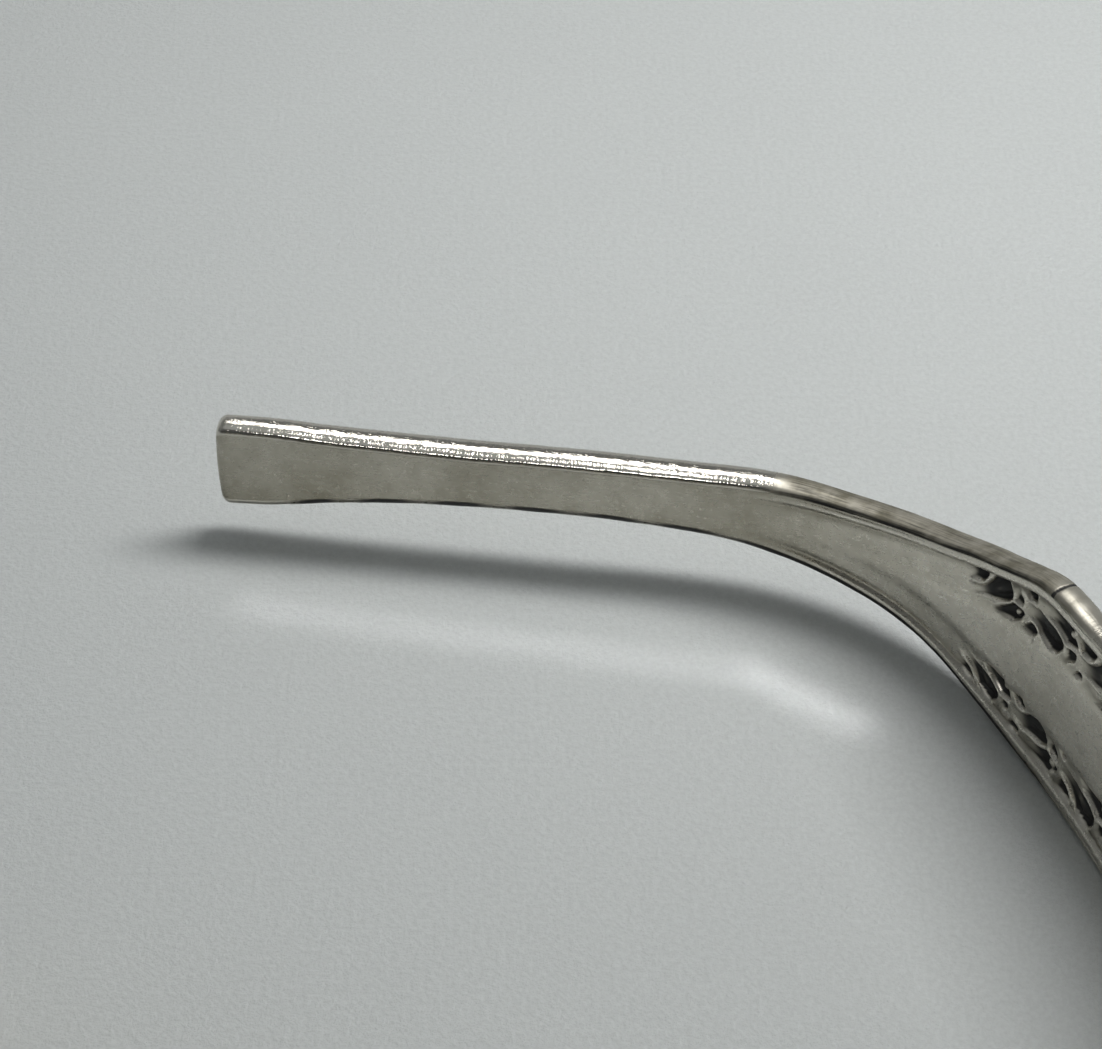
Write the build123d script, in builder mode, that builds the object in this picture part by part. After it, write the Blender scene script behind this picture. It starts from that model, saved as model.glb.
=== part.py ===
from build123d import *
import os
from collections import namedtuple
from math import acos, asin, atan2, cos, degrees, radians, sin

# A cuff bracelet bent from the handle of a long spoon, lying on its side.
# It is one piece of metal: the narrow end where the bowl was cut away, a shank, a shoulder
# that widens, a broad blade with a relief border on both faces, and a rounded tip.

# Lengths along the middle of the band, in millimetres, from the cut end to the tip
flare_length = 14.0
shank_length = 6.0
shoulder_length = 26.0
blade_length = 93.0
tip_length = 9.0

# Widths of the band, measured upwards as the cuff lies on its side
cut_end_width = 5.3
shank_width = 3.7
shoulder_width = 12.2
blade_width = 13.2

# Thicknesses of the band
cut_end_thickness = 1.38
shank_thickness = 1.55
blade_thickness = 1.35

# How far the middle of the cut end lies below the middle of the shoulder
shank_drop = 1.3

# Rounding of the long edges and of the cut end, at most this share of the thickness there
edge_radius = 0.45
cut_end_radius = 0.4
largest_rounding_share = 1 / 3

# Relief: a plain rim, then a border of sunk leaves and berries, then a plain panel
rim_width = 1.1
border_width = 2.9
relief_depth = 0.42
leaf_length = 3.6
leaf_bulb_radius = 0.78
leaf_tail_radius = 0.18
leaf_tail_depth = 0.06
berry_cell_radius = 0.6
pearl_radius = 0.33
leaf_pitch = 4.6
berry_lead = 1.42
first_leaf_setback = 9.0
first_leaf_scale = 0.78
growing_leaves = 3
palmette_leaves = 5
palmette_spread = 120.0
palmette_radius = 3.6

# How far a cutter stands out of the face that it sinks into
cutter_clearance = 0.6

# The bend seen from above. Each arc takes a share of its stretch and turns to the right.
cut_end_heading = -7.0
forearm_length = flare_length + shank_length + shoulder_length
PlanArc = namedtuple("PlanArc", "length turn")
plan_arcs = [
    PlanArc(length=0.520 * forearm_length, turn=1.8),
    PlanArc(length=0.153 * forearm_length, turn=21.0),
    PlanArc(length=0.153 * forearm_length, turn=25.0),
    PlanArc(length=0.174 * forearm_length, turn=11.4),
    PlanArc(length=0.17 * blade_length, turn=14.0),
    PlanArc(length=0.21 * blade_length, turn=60.0),
    PlanArc(length=0.30 * blade_length, turn=56.0),
    PlanArc(length=0.32 * blade_length, turn=58.0),
]

# Where each stretch starts, and what its sections blend from and to
shoulder_start = flare_length + shank_length
blade_start = forearm_length
tip_start = blade_start + blade_length
Stretch = namedtuple("Stretch", "start length plain_width full_width plain_thickness full_thickness")
stretches = {
    "flare": Stretch(
        0.0, flare_length, shank_width, cut_end_width, shank_thickness, cut_end_thickness
    ),
    "shank": Stretch(
        flare_length, shank_length, shank_width, shank_width, shank_thickness, shank_thickness
    ),
    "shoulder": Stretch(
        shoulder_start, shoulder_length, shank_width, shoulder_width, shank_thickness, blade_thickness
    ),
    "blade": Stretch(
        blade_start, blade_length, shoulder_width, blade_width, blade_thickness, blade_thickness
    ),
}

# One row for each section. Along is a share of the stretch's length, width and thickness are
# shares of the change from plain to full, and drop is a share of shank_drop.
SectionRow = namedtuple("SectionRow", "stretch along width thickness drop")
section_rows = [
    SectionRow("flare", along=0.0, width=1.0, thickness=1.0, drop=1.0),
    SectionRow("flare", along=0.16, width=0.93, thickness=0.7, drop=0.95),
    SectionRow("flare", along=0.42, width=0.47, thickness=0.35, drop=0.80),
    SectionRow("flare", along=0.70, width=0.14, thickness=0.1, drop=0.67),
    SectionRow("shank", along=0.0, width=0.0, thickness=0.0, drop=0.60),
    SectionRow("shank", along=0.6, width=0.0, thickness=0.0, drop=0.56),
    SectionRow("shoulder", along=0.13, width=0.028, thickness=0.1, drop=0.68),
    SectionRow("shoulder", along=0.31, width=0.128, thickness=0.38, drop=0.84),
    SectionRow("shoulder", along=0.46, width=0.231, thickness=0.48, drop=0.98),
    SectionRow("shoulder", along=0.615, width=0.405, thickness=0.52, drop=0.90),
    SectionRow("shoulder", along=0.77, width=0.685, thickness=0.62, drop=0.62),
    SectionRow("shoulder", along=0.92, width=0.92, thickness=0.9, drop=0.2),
    SectionRow("blade", along=0.03, width=0.03, thickness=0.0, drop=0.0),
    SectionRow("blade", along=0.10, width=0.12, thickness=0.0, drop=0.0),
    SectionRow("blade", along=0.17, width=0.24, thickness=0.0, drop=0.0),
    SectionRow("blade", along=0.24, width=0.36, thickness=0.0, drop=0.0),
    SectionRow("blade", along=0.31, width=0.48, thickness=0.0, drop=0.0),
    SectionRow("blade", along=0.38, width=0.60, thickness=0.0, drop=0.0),
    SectionRow("blade", along=0.48, width=0.76, thickness=0.0, drop=0.0),
    SectionRow("blade", along=0.58, width=0.88, thickness=0.0, drop=0.0),
    SectionRow("blade", along=0.68, width=0.96, thickness=0.0, drop=0.0),
    SectionRow("blade", along=0.79, width=1.0, thickness=0.0, drop=0.0),
    SectionRow("blade", along=0.90, width=1.0, thickness=0.0, drop=0.0),
    SectionRow("blade", along=1.0, width=1.0, thickness=0.0, drop=0.0),
]
Section = namedtuple("Section", "distance width thickness height")


def section_from(row):
    """Work out a section's distance from the cut end, its sizes and its middle height."""
    stretch = stretches[row.stretch]
    width = stretch.plain_width + row.width * (stretch.full_width - stretch.plain_width)
    thickness = stretch.plain_thickness + row.thickness * (
        stretch.full_thickness - stretch.plain_thickness
    )
    level_width = width if row.stretch == "blade" else shoulder_width
    return Section(
        distance=stretch.start + row.along * stretch.length,
        width=width,
        thickness=thickness,
        height=level_width / 2 - row.drop * shank_drop,
    )


sections = [section_from(row) for row in section_rows]


def section_at(distance):
    """Blend the two sections on either side of a distance from the cut end."""
    for near, far in zip(sections, sections[1:]):
        if near.distance <= distance <= far.distance:
            share = (distance - near.distance) / (far.distance - near.distance)
            return Section(*(a + share * (b - a) for a, b in zip(near, far)))
    return sections[-1]


def plan_frame(distance):
    """Middle of the band seen from above, with the directions along it and out of the cuff."""
    x, y = 0.0, 0.0
    heading = radians(cut_end_heading)
    left = distance
    for arc in plan_arcs:
        run = min(left, arc.length)
        radius = arc.length / radians(arc.turn)
        turned = heading - run / radius
        x += radius * (sin(heading) - sin(turned))
        y += radius * (cos(turned) - cos(heading))
        heading = turned
        left -= run
    along = Vector(cos(heading), sin(heading), 0)
    outward = Vector(-sin(heading), cos(heading), 0)
    return Vector(x, y, 0) + along * left, along, outward


def cell_plane(distance, height, side, scale, turn, tilt):
    """Floor of a sunk cell. Side is 1 on the outer face and -1 on the inner one.

    The cell's tail runs along the x axis, which turns from the band's length towards its top.
    The floor tilts so that it rises towards the tail.
    """
    middle, along, outward = plan_frame(distance)
    face_normal = outward * side
    tail = along * cos(radians(turn)) + Vector(0, 0, 1) * sin(radians(turn))
    sunk = section_at(distance).thickness / 2 - relief_depth * scale
    return Plane(
        origin=middle + Vector(0, 0, height) + face_normal * sunk,
        x_dir=tail * cos(radians(tilt)) + face_normal * sin(radians(tilt)),
        z_dir=face_normal * cos(radians(tilt)) - tail * sin(radians(tilt)),
    )


# The running leaves of one border: distance of each bulb, its size and which way it leans
Leaf = namedtuple("Leaf", "distance scale leans_out")
leaves = []
leaf_distance = blade_start - first_leaf_setback
leaf_count = 0
while leaf_distance + leaf_pitch < tip_start:
    growth = min(1.0, leaf_count / growing_leaves)
    scale = first_leaf_scale + (1 - first_leaf_scale) * growth
    leaf_distance += leaf_pitch * scale
    leaves.append(Leaf(leaf_distance, scale, leaf_count % 2 == 0))
    leaf_count += 1

# Where the leaf's bulb and the berry beside it lie, as shares of the border's width from the rim
bulb_share = 0.30
tail_share = 0.81
berry_share = 0.76

# A leaf's floor slopes from its full depth at the bulb up to its tail's depth
leaf_tilt = degrees(atan2(relief_depth - leaf_tail_depth, leaf_length))

faces_of_band = (1, -1)
borders = [(side, edge) for side in faces_of_band for edge in (1, -1)]
leaf_lean = degrees(asin((tail_share - bulb_share) * border_width / leaf_length))


def across(distance, edge, share, scale):
    """Height of a point that is a share of the border's width from the rim of one edge."""
    section = section_at(distance)
    from_edge = rim_width + share * border_width * scale
    return section.height + edge * (section.width / 2 - from_edge)


def leaf_plane(leaf, side, edge):
    """Floor of one running leaf, whose tail points back towards the cut end."""
    share = bulb_share if leaf.leans_out else 1 - bulb_share
    lean = edge * (leaf_lean if leaf.leans_out else -leaf_lean)
    height = across(leaf.distance, edge, share, leaf.scale)
    return cell_plane(leaf.distance, height, side, leaf.scale, 180 + lean, leaf_tilt)


def berry_plane(leaf, side, edge):
    """Floor of the berry that sits beside a leaf's bulb, on the border's other side."""
    share = berry_share if leaf.leans_out else 1 - berry_share
    distance = leaf.distance + berry_lead * leaf.scale
    height = across(distance, edge, share, leaf.scale)
    return cell_plane(distance, height, side, leaf.scale, 0, 0)


def palmette_plane(index, side):
    """Floor of one leaf of the fan on the tip, whose tail points at the fan's foot."""
    turn = palmette_spread * (index / (palmette_leaves - 1) - 0.5)
    distance = tip_start + palmette_radius * cos(radians(turn))
    height = blade_width / 2 + palmette_radius * sin(radians(turn))
    return cell_plane(distance, height, side, 1.0, 180 + turn, leaf_tilt)


def leaf_outline(scale):
    """Sketch of a leaf: a round bulb, a round tail and the lines that touch both."""
    contact = degrees(acos((leaf_bulb_radius - leaf_tail_radius) / leaf_length))
    with BuildSketch() as outline:
        with BuildLine():
            bulb = CenterArc((0, 0), leaf_bulb_radius * scale, contact, 360 - 2 * contact)
            tail = CenterArc((leaf_length * scale, 0), leaf_tail_radius * scale, -contact, 2 * contact)
            Line(bulb @ 1, tail @ 0)
            Line(tail @ 1, bulb @ 0)
        make_face()
    return outline.sketch


with BuildPart() as blank:
    # Bent band, through its rounded sections
    for section in sections:
        middle, along, outward = plan_frame(section.distance)
        origin = middle + Vector(0, 0, section.height)
        with BuildSketch(Plane(origin=origin, x_dir=outward, z_dir=along)):
            rounding = min(edge_radius, largest_rounding_share * section.thickness)
            RectangleRounded(section.thickness, section.width, rounding)
    loft()
    cut_face = blank.faces().sort_by_distance((0, 0, sections[0].height))[0]
    fillet(cut_face.edges(), min(cut_end_radius, largest_rounding_share * cut_end_thickness))

with BuildPart() as tip:
    # Flat rounded tip, in line with the last of the bend
    middle, along, outward = plan_frame(tip_start)
    with BuildSketch(Plane(origin=middle + Vector(0, 0, blade_width / 2), x_dir=along, z_dir=outward)):
        with BuildLine():
            EllipticalCenterArc((0, 0), tip_length, blade_width / 2, start_angle=-90, arc_size=180)
            Line((0, blade_width / 2), (0, -blade_width / 2))
        make_face()
    extrude(amount=blade_thickness / 2, both=True)
    tip_rounding = min(edge_radius, largest_rounding_share * blade_thickness)
    fillet(tip.edges().filter_by(GeomType.ELLIPSE), tip_rounding)

with BuildPart() as pearls:
    # Round pearls, half sunk in the floors of the berry cells
    for leaf in leaves:
        with Locations(*[berry_plane(leaf, side, edge) for side, edge in borders]):
            Sphere(pearl_radius * leaf.scale)

with BuildPart() as worked:
    add(blank.part)
    add(tip.part)
    for leaf in leaves:
        with BuildSketch(*[leaf_plane(leaf, side, edge) for side, edge in borders]):
            add(leaf_outline(leaf.scale))
        with BuildSketch(*[berry_plane(leaf, side, edge) for side, edge in borders]):
            Circle(berry_cell_radius * leaf.scale)
    for index in range(palmette_leaves):
        with BuildSketch(*[palmette_plane(index, side) for side in faces_of_band]):
            add(leaf_outline(1.0))
    extrude(amount=relief_depth + cutter_clearance, mode=Mode.SUBTRACT)
    add(pearls.part)

# The origin is the middle of the cuff's footprint, on the surface that it lies on
box = worked.part.bounding_box()
footprint_middle = (box.center().X, box.center().Y, box.min.Z)
with BuildPart() as handle_band:
    add(worked.part.moved(Location(footprint_middle).inverse()))
handle_band.part.label = "handle_band"

os.makedirs("parts", exist_ok=True)
export_step(handle_band.part, "parts/handle_band.step")
print("volume", round(handle_band.part.volume, 1), "size", handle_band.part.bounding_box().size)
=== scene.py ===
from collections import namedtuple
from math import cos, pi, radians, sin
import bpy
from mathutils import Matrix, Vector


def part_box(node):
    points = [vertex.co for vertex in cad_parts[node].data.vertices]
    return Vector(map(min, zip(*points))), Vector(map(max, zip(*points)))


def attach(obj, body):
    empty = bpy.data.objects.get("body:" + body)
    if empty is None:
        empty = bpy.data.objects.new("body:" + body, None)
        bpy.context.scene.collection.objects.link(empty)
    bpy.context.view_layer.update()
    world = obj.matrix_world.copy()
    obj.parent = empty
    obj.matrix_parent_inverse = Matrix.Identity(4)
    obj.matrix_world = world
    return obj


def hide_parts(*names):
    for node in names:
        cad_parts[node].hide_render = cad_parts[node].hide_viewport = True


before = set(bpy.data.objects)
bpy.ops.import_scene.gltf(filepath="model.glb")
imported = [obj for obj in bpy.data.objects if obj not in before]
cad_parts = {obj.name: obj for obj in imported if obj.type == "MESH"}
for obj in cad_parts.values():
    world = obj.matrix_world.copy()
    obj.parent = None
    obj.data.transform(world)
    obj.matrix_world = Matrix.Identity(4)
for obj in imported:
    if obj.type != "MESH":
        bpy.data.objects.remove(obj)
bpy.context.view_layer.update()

from types import SimpleNamespace

import bpy
import numpy as np
from bpy.props import FloatProperty, FloatVectorProperty, IntProperty, PointerProperty
from mathutils import Matrix, Vector

bl_info = {
    "name": "Spoon handle cuff",
    "version": (1, 0, 0),
    "blender": (4, 5, 0),
    "location": "3D View > Sidebar > Cuff",
    "description": "Builds an open cuff bracelet bent from a long spoon handle, on its stage",
    "category": "Add Mesh",
}

MM = 0.001
BAND_NODE = "handle_band"
band_low, band_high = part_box(BAND_NODE)


# Sizes and colours


def length(name, description, millimetres):
    """Property for a length that is given here in millimetres."""
    return FloatProperty(
        name=name, description=description, default=millimetres * MM, unit="LENGTH", precision=5
    )


def angle(name, description, degrees):
    """Property for an angle that is given here in degrees."""
    return FloatProperty(
        name=name, description=description, default=radians(degrees), subtype="ANGLE"
    )


def share(name, description, value):
    """Property for a share from 0 to 1."""
    return FloatProperty(
        name=name, description=description, default=value, min=0.0, max=1.0, subtype="FACTOR"
    )


def strength(name, description, value, unit="NONE"):
    """Property for how strong a light is."""
    return FloatProperty(name=name, description=description, default=value, min=0.0, unit=unit)


def colour(name, description, value):
    """Property for a colour."""
    return FloatVectorProperty(
        name=name, description=description, default=value, min=0.0, max=1.0, subtype="COLOR"
    )


class BandSizes(bpy.types.PropertyGroup):
    """Sizes of the bent band."""

    flare_length: length("Flare length", "From the cut end to the slimmest stretch", 14.0)
    shank_length: length("Shank length", "Length of the slimmest stretch", 6.0)
    shoulder_length: length("Shoulder length", "Stretch over which the band widens", 26.0)
    blade_length: length("Blade length", "Length of the broad stretch", 93.0)
    tip_length: length("Tip length", "Length of the rounded tip", 9.0)
    cut_end_width: length("Cut end width", "Width where the bowl was cut off", 5.3)
    shank_width: length("Shank width", "Width of the slimmest stretch", 3.7)
    shoulder_width: length("Shoulder width", "Width where the blade starts", 12.2)
    blade_width: length("Blade width", "Width of the blade", 13.2)
    cut_end_thickness: length("Cut end thickness", "Thickness at the cut end", 1.38)
    shank_thickness: length("Shank thickness", "Thickness of the slimmest stretch", 1.55)
    blade_thickness: length("Blade thickness", "Thickness of the blade", 1.35)
    shank_drop: length("Shank drop", "How far the cut end lies below the band's middle", 1.3)
    corner_radius: length("Corner radius", "Rounding between an edge and a face", 0.34)
    cut_rounding: length("Cut rounding", "Rounding of the cut end", 0.5)
    edge_crown: angle("Edge crown", "How far an edge's surface has turned at its corners", 20.0)
    heading: angle("Heading", "Direction of the cut end seen from above", -7.0)


class ReliefSizes(bpy.types.PropertyGroup):
    """Sizes of the leaf and pearl borders."""

    rim_width: length("Rim width", "Plain rim outside a border", 1.1)
    border_width: length("Border width", "Width of a border", 2.9)
    pitch: length("Pitch", "Distance from leaf to leaf", 4.6)
    depth: length("Depth", "Depth of the deepest cells", 0.40)
    ground_depth: length("Ground depth", "How far the ground between cells is sunk", 0.10)
    panel_depth: length("Panel depth", "How far the plain panel lies below the rim's bead", 0.07)
    ridge_width: length("Ridge width", "Width of the ridge between two cells", 0.16)
    ridge_height: length("Ridge height", "Height of the lip round a cell", 0.035)
    wall_width: length("Wall width", "Width of a cell's sloping wall", 0.18)
    moat_width: length("Moat width", "Width of the flat moat inside a cell's wall", 0.04)
    cell_spread: length("Cell spread", "How far a cell reaches into the ground round it", 0.52)
    body_slope: length("Body slope", "From a cell's moat to the top of its raised body", 0.38)
    body_share: share("Body share", "Height of a cell's raised body as a share of its depth", 0.5)
    palmette_radius: length("Palmette radius", "From the fan's foot to its leaves' bulbs", 3.6)
    palmette_spread: angle("Palmette spread", "Angle between the fan's outer leaves", 120.0)
    palmette_leaves: IntProperty(
        name="Palmette leaves", description="Number of leaves in the fan", default=5, min=1
    )


class SilverFinish(bpy.types.PropertyGroup):
    """Colours and wear of the silver."""

    silver: colour("Silver", "Clean metal", (0.66, 0.63, 0.56))
    tarnish_and_shade: colour("Tarnish", "Brown film on the metal", (0.24, 0.222, 0.166))
    soot_and_shade: colour("Soot", "Black in the recesses", (0.012, 0.012, 0.011))
    face_roughness: share("Face roughness", "Roughness of the satin faces", 0.28)
    edge_roughness: share("Edge roughness", "Roughness of the filed edges", 0.10)
    tarnish_and_shade_amount: share("Tarnish amount", "How much of the metal has a brown film", 0.6)


class StageSettings(bpy.types.PropertyGroup):
    """Floor, lights and camera."""

    floor_colour: colour("Floor colour", "Pale floor", (0.56, 0.58, 0.57))
    key_energy: strength("Key energy", "Overhead softbox", 0.165, "POWER")
    key_spread: angle("Key spread", "Angle over which the softbox shines", 130.0)
    front_energy: strength("Front energy", "Softbox above the camera, for glints", 0.3, "POWER")
    back_energy: strength("Back energy", "Softbox behind the band, for glints", 0.36, "POWER")
    ambient: strength("Ambient", "The room's light from all sides", 0.175)
    ceiling: strength("Ceiling", "Extra light from straight above", 0.2)
    wall: strength("Wall", "Extra light from the wall behind", 0.25)
    camera_distance: length("Camera distance", "From the camera to its target", 150.0)
    camera_elevation: angle("Camera elevation", "Angle above the horizon", 44.0)
    focal_pixels: FloatProperty(
        name="Focal length", description="Focal length in pixels of the photograph", default=3000.0
    )


PROPERTY_GROUPS = {
    "cuff_band": BandSizes,
    "cuff_relief": ReliefSizes,
    "cuff_silver": SilverFinish,
    "cuff_stage": StageSettings,
}


def in_millimetres(group):
    """The group's values by name, with its lengths in millimetres."""
    values = {}
    for name in type(group).__annotations__:
        value = getattr(group, name)
        if group.bl_rna.properties[name].unit == "LENGTH":
            value = value / MM
        values[name] = value
    return SimpleNamespace(**values)


# Shape of the band

# Shares of the forearm's or blade's length, with the turn to the right in degrees
FOREARM_ARCS = ((0.520, 1.8), (0.153, 21.0), (0.153, 25.0), (0.174, 11.4))
BLADE_ARCS = ((0.17, 14.0), (0.21, 60.0), (0.30, 56.0), (0.32, 58.0))
CUT_END_PLACE = (-16.497, 28.231)
PLAN_STEP = 0.05
BEND_EASE = 3.2
DRIFT_EASE = 14.0
BOX_MARGIN = 0.005

# Rows of sections: stretch, share of its length, then shares of the change in width and
# thickness, and share of the shank's drop
SECTION_ROWS = (
    ("flare", 0.0, 1.0, 1.0, 1.0),
    ("flare", 0.16, 0.93, 0.7, 0.95),
    ("flare", 0.42, 0.47, 0.35, 0.80),
    ("flare", 0.70, 0.14, 0.1, 0.67),
    ("shank", 0.0, 0.0, 0.0, 0.60),
    ("shank", 0.6, 0.0, 0.0, 0.56),
    ("shoulder", 0.13, 0.028, 0.1, 0.68),
    ("shoulder", 0.31, 0.128, 0.38, 0.84),
    ("shoulder", 0.46, 0.231, 0.48, 0.98),
    ("shoulder", 0.615, 0.405, 0.52, 0.90),
    ("shoulder", 0.77, 0.685, 0.62, 0.62),
    ("shoulder", 0.92, 0.92, 0.9, 0.2),
    ("blade", 0.03, 0.03, 0.0, 0.0),
    ("blade", 0.10, 0.12, 0.0, 0.0),
    ("blade", 0.17, 0.24, 0.0, 0.0),
    ("blade", 0.24, 0.36, 0.0, 0.0),
    ("blade", 0.31, 0.48, 0.0, 0.0),
    ("blade", 0.38, 0.60, 0.0, 0.0),
    ("blade", 0.48, 0.76, 0.0, 0.0),
    ("blade", 0.58, 0.88, 0.0, 0.0),
    ("blade", 0.68, 0.96, 0.0, 0.0),
    ("blade", 0.79, 1.0, 0.0, 0.0),
    ("blade", 1.0, 1.0, 0.0, 0.0),
)


def ramp(x, start, end):
    """Smooth step from 0 at start to 1 at end."""
    t = np.clip((x - start) / (end - start), 0.0, 1.0)
    return t * t * (3.0 - 2.0 * t)


def bell(x, middle, spread):
    """Bell curve of height 1."""
    return np.exp(-(((x - middle) / spread) ** 2))


def curve_through(x, knots, values):
    """Smooth curve through the knots that never overshoots them."""
    run = np.diff(knots)
    slope = np.diff(values) / run
    tangent = np.concatenate(([slope[0]], np.zeros(len(slope) - 1), [slope[-1]]))
    same_way = slope[1:] * slope[:-1] > 0
    ahead, behind = 2 * run[1:] + run[:-1], run[1:] + 2 * run[:-1]
    safe_near = np.where(same_way, slope[:-1], 1.0)
    safe_far = np.where(same_way, slope[1:], 1.0)
    mean = (ahead + behind) / (ahead / safe_near + behind / safe_far)
    tangent[1:-1] = np.where(same_way, mean, 0.0)
    i = np.clip(np.searchsorted(knots, x) - 1, 0, len(run) - 1)
    t = np.clip((x - knots[i]) / run[i], 0.0, 1.0)
    return (
        values[i] * (1 + 2 * t) * (1 - t) ** 2
        + tangent[i] * run[i] * t * (1 - t) ** 2
        + values[i + 1] * t * t * (3 - 2 * t)
        - tangent[i + 1] * run[i] * t * t * (1 - t)
    )


def waves(table, distance, seed):
    """Sum of slow waves along the band, from rows of height, pace and share of the seed."""
    return sum(height * np.sin(pace * distance + turn * seed) for height, pace, turn in table)


def stacked(*parts):
    """Points or vectors from their parts, which may be single numbers."""
    return np.stack(np.broadcast_arrays(*parts), axis=-1)


def running_sum(values):
    """Sum from the first value to each one, by trapeziums."""
    return np.concatenate(([0.0], np.cumsum((values[1:] + values[:-1]) / 2)))


def smoothed(values, reach):
    """Values on the plan's grid averaged twice over a window of this many millimetres."""
    count = int(reach / PLAN_STEP)
    padding = 2 * count
    padded = np.pad(values, padding, mode="edge")
    for _ in range(2):
        padded = np.convolve(padded, np.ones(count) / count, mode="same")
    return padded[padding:-padding]


class Band:
    """The bent band: its sections by distance from the cut end, and its line seen from above."""

    def __init__(self, size):
        self.size = size
        self.forearm_length = size.flare_length + size.shank_length + size.shoulder_length
        self.tip_start = self.forearm_length + size.blade_length
        self.full_length = self.tip_start + size.tip_length
        self._read_rows()
        self._draw_plan()

    def _read_rows(self):
        size = self.size
        shoulder_start = size.flare_length + size.shank_length
        slim = (size.shank_width, size.shank_thickness)
        cut = (size.cut_end_width, size.cut_end_thickness)
        broad = (size.shoulder_width, size.blade_thickness)
        full = (size.blade_width, size.blade_thickness)
        stretches = {
            "flare": (0.0, size.flare_length, slim, cut),
            "shank": (size.flare_length, size.shank_length, slim, slim),
            "shoulder": (shoulder_start, size.shoulder_length, slim, broad),
            "blade": (self.forearm_length, size.blade_length, broad, full),
        }
        rows = []
        for name, along, width_share, thickness_share, drop_share in SECTION_ROWS:
            start, stretch_length, plain, changed = stretches[name]
            width = plain[0] + width_share * (changed[0] - plain[0])
            thickness = plain[1] + thickness_share * (changed[1] - plain[1])
            level_width = width if name == "blade" else size.shoulder_width
            height = level_width / 2 - drop_share * size.shank_drop
            rows.append((start + along * stretch_length, width, thickness, height))
        self.knots, self.widths, self.thicknesses, self.heights = np.array(rows).T

    def _draw_plan(self):
        distance = np.arange(0.0, self.full_length + PLAN_STEP, PLAN_STEP)
        curvature = np.zeros_like(distance)
        start = 0.0
        for stretch_length, arcs in (
            (self.forearm_length, FOREARM_ARCS),
            (self.size.blade_length, BLADE_ARCS),
        ):
            for length_share, turn in arcs:
                end = start + length_share * stretch_length
                inside = (distance >= start) & (distance < end)
                curvature[inside] = radians(turn) / (end - start)
                start = end
        raw, eased = self._line(curvature), self._line(smoothed(curvature, BEND_EASE))
        drift = [smoothed(e - r, DRIFT_EASE) for e, r in zip(eased, raw)]
        x, y = [e - d + d[0] for e, d in zip(eased, drift)]
        self.plan_distance = distance
        self.plan_heading = np.unwrap(np.arctan2(np.gradient(y), np.gradient(x)))
        self.plan_x, self.plan_y = x + CUT_END_PLACE[0], y + CUT_END_PLACE[1]
        self._fit_to_solid()

    def _fit_to_solid(self):
        """Stretch the line by a hair, so that the band is as long and as wide as its solid."""
        rounding_start = self.full_length - self.size.corner_radius
        full = self.plan_distance < rounding_start
        half = self.half_thickness(self.plan_distance) * full
        sides = np.concatenate(
            [self.place(self.plan_distance, way * half, 0.0 * half) for way in (1, -1)]
        )
        low, high = sides.min(axis=0), sides.max(axis=0)
        solid_low, solid_high = np.array(band_low) / MM, np.array(band_high) / MM
        stretch = (solid_high[:2] - solid_low[:2] - 2 * BOX_MARGIN) / (high[:2] - low[:2])
        shift = solid_low[:2] + BOX_MARGIN - stretch * low[:2]
        self.plan_x = self.plan_x * stretch[0] + shift[0]
        self.plan_y = self.plan_y * stretch[1] + shift[1]

    def _line(self, curvature):
        """Line seen from above that has this curvature."""
        heading = self.size.heading - running_sum(curvature) * PLAN_STEP
        return running_sum(np.cos(heading)) * PLAN_STEP, running_sum(np.sin(heading)) * PLAN_STEP

    def half_width(self, distance):
        return curve_through(np.asarray(distance, float), self.knots, self.widths) / 2

    def half_thickness(self, distance):
        return curve_through(np.asarray(distance, float), self.knots, self.thicknesses) / 2

    def middle_height(self, distance):
        return curve_through(np.asarray(distance, float), self.knots, self.heights)

    def place(self, distance, outward, height):
        """Points in millimetres from distance along, distance outward and height."""
        heading = np.interp(distance, self.plan_distance, self.plan_heading)
        x = np.interp(distance, self.plan_distance, self.plan_x) - outward * np.sin(heading)
        y = np.interp(distance, self.plan_distance, self.plan_y) + outward * np.cos(heading)
        return stacked(x, y, height)


# Relief

# One sunk cell, as a curved drop from a round bulb to a slim tail. Its bow is how far its
# middle is pulled sideways, and its pearl is the radius of the pearl that stands in it.
Cell = namedtuple("Cell", "bulb tail bulb_radius tail_radius bow pearl")

# The repeat of a border, with its bulb at distance 0 and offsets from the rim
MOTIF = (
    Cell((0.10, 0.86), (-3.00, 2.45), 0.78, 0.06, 0.70, 0.0),
    Cell((1.42, 2.20), (-1.30, 2.92), 0.64, 0.05, 0.30, 0.33),
    Cell((-1.72, 0.46), (-3.10, 0.30), 0.42, 0.05, 0.12, 0.0),
    Cell((1.78, 0.90), (0.95, 0.02), 0.48, 0.08, 0.10, 0.0),
    Cell((2.62, 0.30), (1.85, 0.02), 0.28, 0.05, 0.05, 0.0),
)
FIRST_LEAF_SETBACK = 9.0
FIRST_LEAF_SCALE = 0.78
GROWING_LEAVES = 3

# A cell's outline: its steps from bulb to tail, how it tapers, how far back its bulb counts as
# share of the radius, and how its floor rises
DROP_STEPS = 36
DROP_TAPER = 0.85
BULB_LEAD = 0.6
FLOOR_START = 1.10
FLOOR_FALL = 1.4

# How far round a cell the points are looked at, and the distance that stands for no cell near
CELL_MARGIN = 0.5
FAR_OFF = 9.0

# The fan on the tip: where its leaves start, and the pearls just past and between their bulbs
FAN_FOOT = 0.75
FAN_BULB_RADIUS = 0.7
FAN_TAIL_RADIUS = 0.08
FAN_PEARL_LEAD = 0.85
FAN_PEARL_CELL = 0.33
FAN_PEARL_RADIUS = 0.24

# Distances round a pearl over which the floor stays flat, and how much of a pearl stands up
PEARL_SURROUND = (0.12, 0.5)
PEARL_RISE = 0.9

# Share of the room to the border's edge that a hollow may spread into, and how far inside the
# edge and the panel's outline that room starts
ROOM_SHARE = 0.8
ROOM_STARTS = (0.9, 0.34)

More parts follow.
